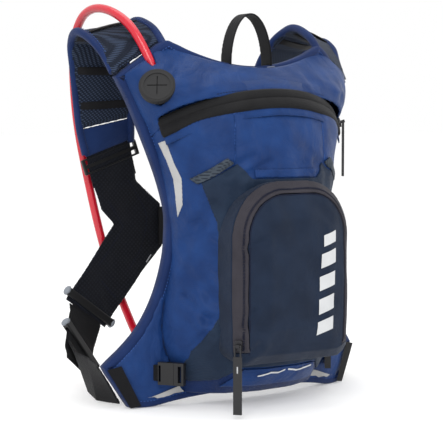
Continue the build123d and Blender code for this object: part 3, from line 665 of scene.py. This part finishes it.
def makeBinding(s):
    flat = smoothPath([(x, 0, z) for x, z in outlinePath()], 5, closed=True)
    count = len(flat)
    stations = []
    for i, p in enumerate(flat):
        along = (flat[(i + 2) % count] - flat[i - 2]).normalized()
        inward = Vector((along.z, 0, -along.x))
        stations.append((p, inward))
    # Distance in from the edge, then the face: 1 to 2 in front, -1 to -2 behind
    vertices, faces = [], []
    ring = [(0.0, 1), (0.6, 1.3), (2, 1.9), (s["width"] - 1, 2.0), (s["width"], 1.0)]
    ring += [(a, -layer) for a, layer in reversed(ring)]
    for p, inward in stations:
        for a, layer in ring:
            spot = p + inward * a
            spot.z = max(spot.z, 0)
            radius = s["front"] if layer > 0 else s["back"]
            radius += (abs(layer) - 2) * (1.8 if layer > 0 else -1.8)
            spot.y = edgeY(spot.x, radius)
            vertices.append(spot / 1000)
    n = len(ring)
    for i in range(count):
        j = (i + 1) % count
        for k in range(n):
            m = (k + 1) % n
            faces.append((i * n + k, i * n + m, j * n + m, j * n + k))
    made = newObject("bindingTape", vertices, faces, bindingBlue)
    fixNormals(made)
    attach(made, "pack")
    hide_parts("edge_binding")
    inner = [(p + inward * (s["width"] - 1.6)) for p, inward in stations]
    for q in inner:
        q.y = edgeY(q.x, s["front"]) - 0.2
    stitchRow("bindingStitches", inner[::5] + [inner[0]], threadBlue, made, pitch=3.6, width=0.45)


makeBinding(bindingSettings)
foamSqueeze = 0.5  # the sewn edge holds the foam at this share of its free thickness


def backMove(p):
    gone = np.array((p[0], p[1] - bendRadius, 0.0))
    radius = np.linalg.norm(gone)
    return gone / radius * (bendRadius - radius) * foamSqueeze


softCopy("back_panel_foam", bandBlue, voxel=3.0, relax=2, move=backMove)
softCopy("back_panel_mesh", backMesh, voxel=0.9, relax=1, move=backMove)
wingSettings = {"pressure": 4.0, "cap": 1.6}
wings = {}
for side, name in ((-1, "left"), (1, "right")):
    wings[side] = softCopy("side_wing_" + name, blueNylon, voxel=2.6, relax=3, simulate=wingSettings)
print("binding and back")


# Carrier, pocket and trims on the compartment
def patchMove(lift):
    def move(p):
        return bodyMove(p) + outwards(p) * lift
    return move


softCopy("carrier_panel", carrierNylon, voxel=1.3, relax=2, move=patchMove(0.5))
softCopy("stow_pocket_hem", blueNylon, voxel=1.2, relax=1, move=patchMove(0.8))
flap = softCopy("bottom_flap", blueNylon, voxel=1.2, relax=2, move=patchMove(0.8))
for side in ("left", "right"):
    softCopy("carrier_top_tab_" + side, paleMesh, voxel=1.1, relax=1, move=patchMove(1.0))
    softCopy("reflective_strip_" + side, reflective, voxel=0.5, relax=1, move=patchMove(0.6))

pocketSettings = {
    "puff": 2.2,
    "creases": [((-62, -88, 176), (-48, -94, 182), 1.8, 5), ((-66, -86, 92), (-56, -90, 110), 1.6, 4),
                ((-20, -96, 220), (-6, -96, 196), 0.9, 9), ((20, -95, 226), (34, -95, 206), 0.9, 9),
                ((-64, -84, 64), (-50, -88, 74), 1.6, 5)],
}


def pocketMove(p):
    inside = max(0.0, 1 - (p[0] / 75) ** 2) * max(0.0, 1 - ((p[2] - 148) / 97) ** 2)
    q = Vector((p[0] * 0.022, 3.0, p[2] * 0.020 + p[0] * 0.01))
    fold = (noise.noise(q) + 0.45 * noise.noise(q * 2.6)) * 1.5
    depth = creaseDepth(p, np.array((0.0, -1.0, 0.0)), pocketSettings["creases"])
    forward = pocketSettings["puff"] * math.sqrt(inside) + fold - depth
    if p[1] > -76:
        forward *= max(0.0, min(1.0, (-64 - p[1]) / 12))
    return np.array((0.0, -forward, 0.0))


softCopy("pocket_gusset", navyNylon, voxel=1.3, relax=2, move=pocketMove)
pocketFront = softCopy("pocket_front", navyNylon, voxel=1.3, relax=4, move=pocketMove)
pocketTape = softCopy("pocket_zip_tape", taupeTape, voxel=1.2, relax=2, move=pocketMove)


def pocketOutline(inset, low=70):
    half, top = 75 - inset, 244 - inset
    corner = 58 - inset
    line = [(-half, low), (-half, 110), (-half, 150), (-half, top - corner - 10)]
    for k in range(0, 7):
        angle = math.radians(180 - 15 * k)
        line.append((-half + corner + corner * math.cos(angle), top - corner + corner * math.sin(angle)))
    return line + [(-x, z) for x, z in reversed(line)]


def onPocket(points, depth=-92):
    return [(x, depth, z) for x, z in points]


stitchRow("pocketCoil", onPocket(pocketOutline(5.5)), threadDark, pocketTape, pitch=1.5, length=0.8, width=1.3,
          lift=0.7)
stitchRow("pocketSeam", onPocket(pocketOutline(14.2, 66)), threadDark, pocketFront, pitch=2.2, length=2.1, width=0.7,
          lift=0.3)

# Plain bars stand for the printed mark: left, low, right, high and lean of each
printSettings = {"bars": [(22, 80, 43, 94, 6), (23, 102, 44, 118, 6), (24, 127, 45, 142, 6), (26, 151, 46, 166, 6),
                          (29, 174, 46, 186, 5)]}


def makePrint(s):
    vertices, faces = [], []
    for left, low, right, high, lean in s["bars"]:
        columns, rows = 12, 8
        start = len(vertices)
        for r in range(rows + 1):
            for c in range(columns + 1):
                x = left + (right - left) * c / columns
                z = low + (high - low) * r / rows + lean * c / columns
                _, spot, normal, _ = pocketFront.ray_cast(mm(x, -140, z), (0, 1, 0))
                vertices.append(spot + normal * 0.0005)
        for r in range(rows):
            for c in range(columns):
                q = start + r * (columns + 1) + c
                faces.append((q, q + 1, q + columns + 2, q + columns + 1))
    made = newObject("pocketPrint", vertices, faces, whitePrint)
    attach(made, "pack")


makePrint(printSettings)
print("carrier and pocket")


# Main zipper and its stitching
def zipSpot(angle, rise=0.0, shift=0.0):
    a = math.radians(angle)
    outward = -zipInward * math.cos(a) + np.array((math.sin(a), 0, 0))
    return zipCentre + outward * (zipRadius + rise) + zipAxis * shift, outward


zipSettings = {"width": 19.5, "reach": 57.6}


def makeMainZip(s):
    half = s["width"] / 2
    section = [(-half - 2, -4.5), (-half - 1.4, -1.2), (-half + 0.2, 0.3), (-half + 1, 0.9), (-1.1, 1.1), (-0.5, 0.4),
               (0.5, 0.4), (1.1, 1.1), (half - 1, 0.9), (half - 0.2, 0.3), (half + 1.4, -1.2), (half + 2, -4.5)]
    stations = []
    for angle in np.linspace(-s["reach"], s["reach"], 90):
        spot, outward = zipSpot(angle)
        stations.append((Vector(spot), Vector(zipAxis), Vector(outward)))
    made = sweepSection("mainZip", stations, section, charcoalTape)
    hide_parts("main_zip_tape")
    # Cloth under the tape, so that no gap shows beside it
    shelf = [(-half - 10, -4.6), (-half - 10, -3.6), (-half - 1, -3.2), (half + 1, -3.2), (half + 14, -3.6),
             (half + 14, -4.6)]
    sweepSection("mainZipShelf", stations, shelf, blueNylon)
    rows = (("mainZipStitchesUpper", half + 2.2, threadDark, "upper_yoke"),
            ("mainZipStitchesLower", -half - 2.2, threadBlue, "front_panel"))
    for name, shift, thread, cloth in rows:
        row = [tuple(zipSpot(angle, 2, shift)[0]) for angle in range(-54, 55, 6)]
        stitchRow(name, row, thread, bodyCloth[cloth], width=0.4)


makeMainZip(zipSettings)
for sign, label in ((-1, "Left"), (1, "Right")):
    row = [(sign * 57, -80, z) for z in (262, 275, 290, 305, 316)]
    stitchRow("sideSeam" + label, row, threadBlue, bodyCloth["side_panel_" + label.lower()], width=0.45)

hardPiece("cable_port", portRubber, 0.5)
portSettings = {
    "middle": (-124, -13, 343), "normal": (-0.50, -0.74, 0.45), "across": (0.84, -0.54, 0),
    # height above the port's middle and radius, down the sleeve
    "sleeve": ((0.9, 16.6), (1.5, 17.6), (1.3, 18.8), (0.0, 19.4), (-7.0, 18.6)), "floor": (-2.2, 17), "sides": 40,
}


def makePortCollar(s):
    # Sleeve that closes the gap behind the port, with its bottom shut
    middle, normal = Vector(s["middle"]), Vector(s["normal"]).normalized()
    across = Vector(s["across"])
    across = (across - normal * across.dot(normal)).normalized()
    up = normal.cross(across)
    stations = []
    for height, radius in s["sleeve"]:
        stations.append((middle + normal * height, across * radius, up * radius))
    count = s["sides"]
    ring = [(math.cos(a), math.sin(a)) for a in np.linspace(0, 2 * math.pi, count, endpoint=False)]
    vertices = [(m + a * x + b * y) / 1000 for m, a, b in stations for x, y in ring]
    faces = []
    for r in range(len(stations) - 1):
        here, after = r * count, (r + 1) * count
        faces += [(here + k, here + (k + 1) % count, after + (k + 1) % count, after + k) for k in range(count)]
    start = len(vertices)
    height, radius = s["floor"]
    vertices += [(middle + normal * height + (across * x + up * y) * radius) / 1000 for x, y in ring]
    faces.append(tuple(range(start, start + count)))
    made = newObject("portCollar", vertices, faces, portRubber)
    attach(made, "pack")


makePortCollar(portSettings)
for node in ("main_zip_slider", "pocket_zip_slider"):
    hardPiece(node, darkMetal, 0.3)
# Each puller, with a small mark on its outer face
pullFaces = {"main_zip_pull": ((0.547, 0.837, 0), (0.837, -0.547, 0)),
             "pocket_zip_pull": ((0.707, -0.707, 0), (-0.707, -0.707, 0))}
for node, (across, out) in pullFaces.items():
    hardPiece(node, pullRubber, 0.4)
    low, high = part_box(node)
    middle = (low + high) / 2
    across, out = Vector(across), Vector(out)
    spot = Vector((middle.x, middle.y, high.z)) * 1000 - Vector((0, 0, 22)) + out * 1.15
    sweepSection(node + "Mark", [(spot, across, out), (spot - Vector((0, 0, 7)), across, out)],
                 [(-0.7, 0), (-0.7, 0.2), (0.7, 0.2), (0.7, 0)], threadWhite, node)
print("zippers")

# Handle, and the three tacks on the neckline beside it
softCopy("grab_handle", blackWebbing, voxel=0.9, relax=1)
for index, x in enumerate((-24, 0, 24)):
    spot, tilt = Vector((x - 2, -9.6, 364 + 0.0026 * x * x)), Vector((1, 0, 0.0052 * x))
    ends = [(spot + tilt * reach, (0, 0, 1), (0, -1, 0)) for reach in (-5, 5)]
    sweepSection("neckTack" + str(index), ends, [(-0.6, 0), (-0.6, 0.5), (0.6, 0.5), (0.6, 0)], threadPale)
print("handle")

# Harness, one side after the other
strapSettings = {"pressure": 4.0, "cap": 1.4}
shoulderLine = [(127, 20, 371), (129, 38, 390), (133, 62, 404), (134, 88, 406), (128, 109, 394), (120, 121, 370),
                (113, 128, 335), (107, 133, 303)]
shoulderAcross = [(0.78, 0.22, -0.59), (0.85, 0.23, -0.47), (0.93, 0.24, -0.28), (0.96, 0.24, -0.14),
                  (0.97, 0.24, -0.05), (0.97, 0.23, 0), (0.97, 0.23, 0), (0.95, 0.22, -0.22)]
loopSettings = {
    # places along the strap, in points of its line, and the loop's cross line as reach and height
    "places": (2.2, 3.4, 5.2, 6.3), "line": ((-27, 0), (-14, 1.2), (0, 1.5), (14, 1.2), (27, 0)),
}
elasticSettings = {
    "tacks": [[(44, 222), (47, 226), (50, 230)], [(44, 150), (47, 146), (50, 142)]],
    "seams": [[(74, 238), (54, 208), (50, 186), (58, 158), (72, 136)], [(108, 122), (92, 104)],
              [(100, 214), (84, 190), (84, 180), (112, 142)]],
}
barSettings = {
    # middle of each bar, its direction, and how far its ends reach
    "upper_adjuster_": ((124, 141.6, 94.2), (0.8, 0, 0.6), 35.0),
    "lower_adjuster_": ((143.5, 126.5, 54.5), (0.56, 0, 0.83), 33.0),
}
tailSettings = {
    "line": [(126, 141.5, 90), (134, 138.5, 76), (142, 131, 63), (147.5, 124.5, 52), (152, 119, 42), (156, 112, 33)],
    "across": [(0.8, 0, 0.6), (0.7, 0, 0.7), (0.6, 0, 0.8), (0.56, 0, 0.83), (0.5, 0, 0.86), (0.45, 0, 0.9)],
}


def sided(points, side):
    return [(side * x, y, z) for x, y, z in points]


def offsetLine(points, acrosses, amount, lift=0.0):
    return [tuple(p + across * amount + up * lift) for p, across, up in ribbonStations(points, acrosses, 1)]


def makeStrap(side, name):
    strap = softCopy("shoulder_strap_" + name, darkMesh, voxel=2.2, relax=3, simulate=strapSettings)
    line, across = sided(shoulderLine, side), sided(shoulderAcross, side)
    full = line + sided([(100, 139, 276)], side)
    fullAcross = across + sided([(0.94, 0, -0.33)], side)
    for label, amount in (("Outer", 30.5), ("Inner", -30.5)):
        edge = offsetLine(full, fullAcross, amount)
        makeRibbon("strapBinding" + label + name, edge, fullAcross, 8.5, 8.6, bindingBlue)
        row = offsetLine(full, fullAcross, amount * 0.92, 4.6)
        stitchRow("strapStitchOver" + label + name, row[1:], threadBlue, pitch=3.8, width=0.4)
    for index, spot in enumerate(loopSettings["places"]):
        at, part = int(spot), spot - int(spot)
        p = Vector(line[at]).lerp(Vector(line[at + 1]), part)
        q = Vector(across[at]).lerp(Vector(across[at + 1]), part).normalized()
        along = (Vector(line[at + 1]) - Vector(line[at])).normalized()
        up = along.cross(q).normalized()
        for face, label in ((1, "Under"), (-1, "Over")):
            rise = up * face
            stations = [(p + q * w + rise * (3.6 + h), along, rise) for w, h in loopSettings["line"]]
            sweepSection("strapLoop" + label + str(index) + name, stations, roundSection(9, 1.4), blackWebbing)


def elasticMove(p):
    q = Vector((p[0] * 0.035, 1.0, p[2] * 0.03))
    return np.array((0.0, noise.noise(q) * 1.8, 0.0))


def makeElastic(side, name):
    softCopy("strap_end_band_" + name, bandBlue, voxel=1.3, relax=2, inflate=0.4)
    hardPiece("ladder_lock_" + name, blackPlastic, 0.5)
    loop = sided([(101, 139.6, 284), (98.5, 140.6, 270), (94, 141.6, 252), (90, 142.2, 238)], side)
    makeRibbon("lockLoop" + name, loop, sided([(0.94, 0, -0.33)] * 4, side), 58, 1.6, navyElastic)
    elastic = softCopy("chest_elastic_" + name, navyElastic, voxel=1.5, relax=2, move=elasticMove)
    for index, row in enumerate(elasticSettings["tacks"]):
        stitchRow("elasticTack" + str(index) + name, [(side * x, 138, z) for x, z in row], threadWhite, elastic,
                  pitch=1.2, length=1.3, width=0.8, lift=0.4)
    for index, row in enumerate(elasticSettings["seams"]):
        stitchRow("elasticSeam" + str(index) + name, [(side * x, 138, z) for x, z in row], threadDark, elastic,
                  pitch=3.0, width=0.5)


def makeBarCap(name, body, spot, along):
    # Oval end of a bar
    stations = []
    for k in range(9):
        t = -1 + 2 * k / 8
        scale = math.sqrt(max(0.02, 1 - t * t))
        back = Vector((0, 1, 0))
        stations.append((spot + along * t * 3.4, back * scale, along.cross(back) * scale))
    ring = [(5.0 * math.cos(a), 5.8 * math.sin(a)) for a in np.linspace(0, 2 * math.pi, 14, endpoint=False)]
    sweepSection(name, stations, ring, greyPlastic, body)


def makeWebbing(side, name):
    softCopy("lower_webbing_" + name, blackWebbing, voxel=1.15, relax=2)
    for node in ("upper_adjuster_", "lower_adjuster_", "carrier_buckle_female_", "carrier_buckle_male_"):
        hardPiece(node + name, blackPlastic, 0.6)
    softCopy("buckle_tail_" + name, blackWebbing, voxel=0.8, relax=1)
    for bar, (middle, along, reach) in barSettings.items():
        middle, along = Vector(sided([middle], side)[0]), Vector(sided([along], side)[0]).normalized()
        for end, sign in (("High", 1), ("Low", -1)):
            makeBarCap(bar + name + end + "Cap", bar + name, middle + along * reach * sign, along)
    # Loose end of the webbing, folded back between the bars
    makeRibbon("webbingTail" + name, sided(tailSettings["line"], side), sided(tailSettings["across"], side), 44, 1.5,
               blackWebbing)


for side, name in ((-1, "left"), (1, "right")):
    makeStrap(side, name)
    makeElastic(side, name)
    makeWebbing(side, name)
for node in ("chest_clip_base", "chest_clip_slide", "chest_clip_button"):
    hardPiece(node, blackPlastic, 0.6)
print("harness")

# Water system inside
softCopy("bladder", bladderFilm, voxel=4.0, relax=3)
hardPiece("bladder_slide_bar", greyPlastic, 0.4)
softCopy("bladder_hanger", blackWebbing, voxel=1.2, relax=1)
hardPiece("bladder_outlet", glossBlack, 0.4)
hardPiece("release_button", greyPlastic, 0.3)
print("water system")


# Reflective patches and the lines on the bottom flap
def makePatch(name, corners, target, material, lift=0.6, cells=10, radius=None):
    # Laid on a target piece, or bent round the back panel's cylinder at a radius
    vertices, faces = [], []
    a, b, c, d = (Vector(p) for p in corners)
    for r in range(cells + 1):
        for k in range(cells + 1):
            p = a.lerp(b, k / cells).lerp(d.lerp(c, k / cells), r / cells)
            if radius:
                vertices.append(mm(p.x, edgeY(p.x, radius), p.z))
                continue
            _, spot, normal, _ = target.closest_point_on_mesh(p / 1000)
            vertices.append(spot + normal * lift / 1000)
    for r in range(cells):
        for k in range(cells):
            q = r * (cells + 1) + k
            faces.append((q, q + 1, q + cells + 2, q + cells + 1))
    made = newObject(name, vertices, faces, material)
    fixNormals(made)
    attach(made, "pack")


zigzag = [[(-34, -70, 30), (-16, -70, 36), (-6, -70, 34), (2, -70, 38)],
          [(6, -70, 38), (18, -70, 34), (30, -70, 36), (44, -70, 35)]]
lineWidth = 2.8
for index, line in enumerate(zigzag):
    for part, (p, q) in enumerate(zip(line, line[1:])):
        corners = [p, q, (q[0], q[1], q[2] + lineWidth), (p[0], p[1], p[2] + lineWidth)]
        makePatch("flapLine" + str(index) + str(part), corners, flap, whitePrint, lift=0.9, cells=4)
for side, name in ((-1, "Left"), (1, "Right")):
    corners = [(side * 134, -20, 10), (side * 110, -20, 9), (side * 84, -20, 16), (side * 92, -20, 23)]
    makePatch("wingPatch" + name, corners, wings[side], reflective, lift=1.4, cells=8)
    end = [(side * 165.2, 0, 43), (side * 151, 0, 47), (side * 131, 0, 3), (side * 142, 0, 1)]
    makePatch("webbingEnd" + name, end, None, blackWebbing, cells=12, radius=bindingSettings["front"] + 3.4)
print("trims")


# Floor and light
stageSettings = {
    "floor": (0.78, 0.78, 0.78), "glow": 0.24, "reach": 30, "sky": (1, 1, 1, 1),
    # place, size and power of each lamp
    "lamps": {"key": ((-1200, -1500, 1700), 1.2, 22), "fill": ((1500, -900, 900), 1.6, 4),
              "top": ((0, 200, 1900), 1.4, 8)},
}


def makeLight(name, place, size, power, aim=(0, 0, 180)):
    lamp = bpy.data.lights.new(name, "AREA")
    lamp.size = size
    lamp.energy = power
    holder = bpy.data.objects.new(name, lamp)
    holder.location = mm(*place)
    holder.rotation_mode = "QUATERNION"
    holder.rotation_quaternion = (mm(*aim) - mm(*place)).to_track_quat("-Z", "Y")
    scene.collection.objects.link(holder)


def makeStage(s):
    paint = makeHard("floorPaint", s["floor"], rough=0.9, specular=0.1)
    surface = paint.node_tree.nodes["Principled BSDF"]
    surface.inputs["Emission Color"].default_value = (1, 1, 1, 1)
    surface.inputs["Emission Strength"].default_value = s["glow"]
    far = s["reach"]
    corners = [(-far, -far, 0), (far, -far, 0), (far, far, 0), (-far, far, 0)]
    newObject("floor", corners, [(0, 1, 2, 3)], paint, smooth=False)
    world = bpy.data.worlds.new("studio")
    world.use_nodes = True
    world.node_tree.nodes["Background"].inputs["Color"].default_value = s["sky"]
    world.node_tree.nodes["Background"].inputs["Strength"].default_value = 1.0
    scene.world = world
    for name, (place, size, power) in s["lamps"].items():
        makeLight(name, place, size, power)


makeStage(stageSettings)
scene.view_settings.view_transform = "Standard"
print("stage")

low, high = startBounds
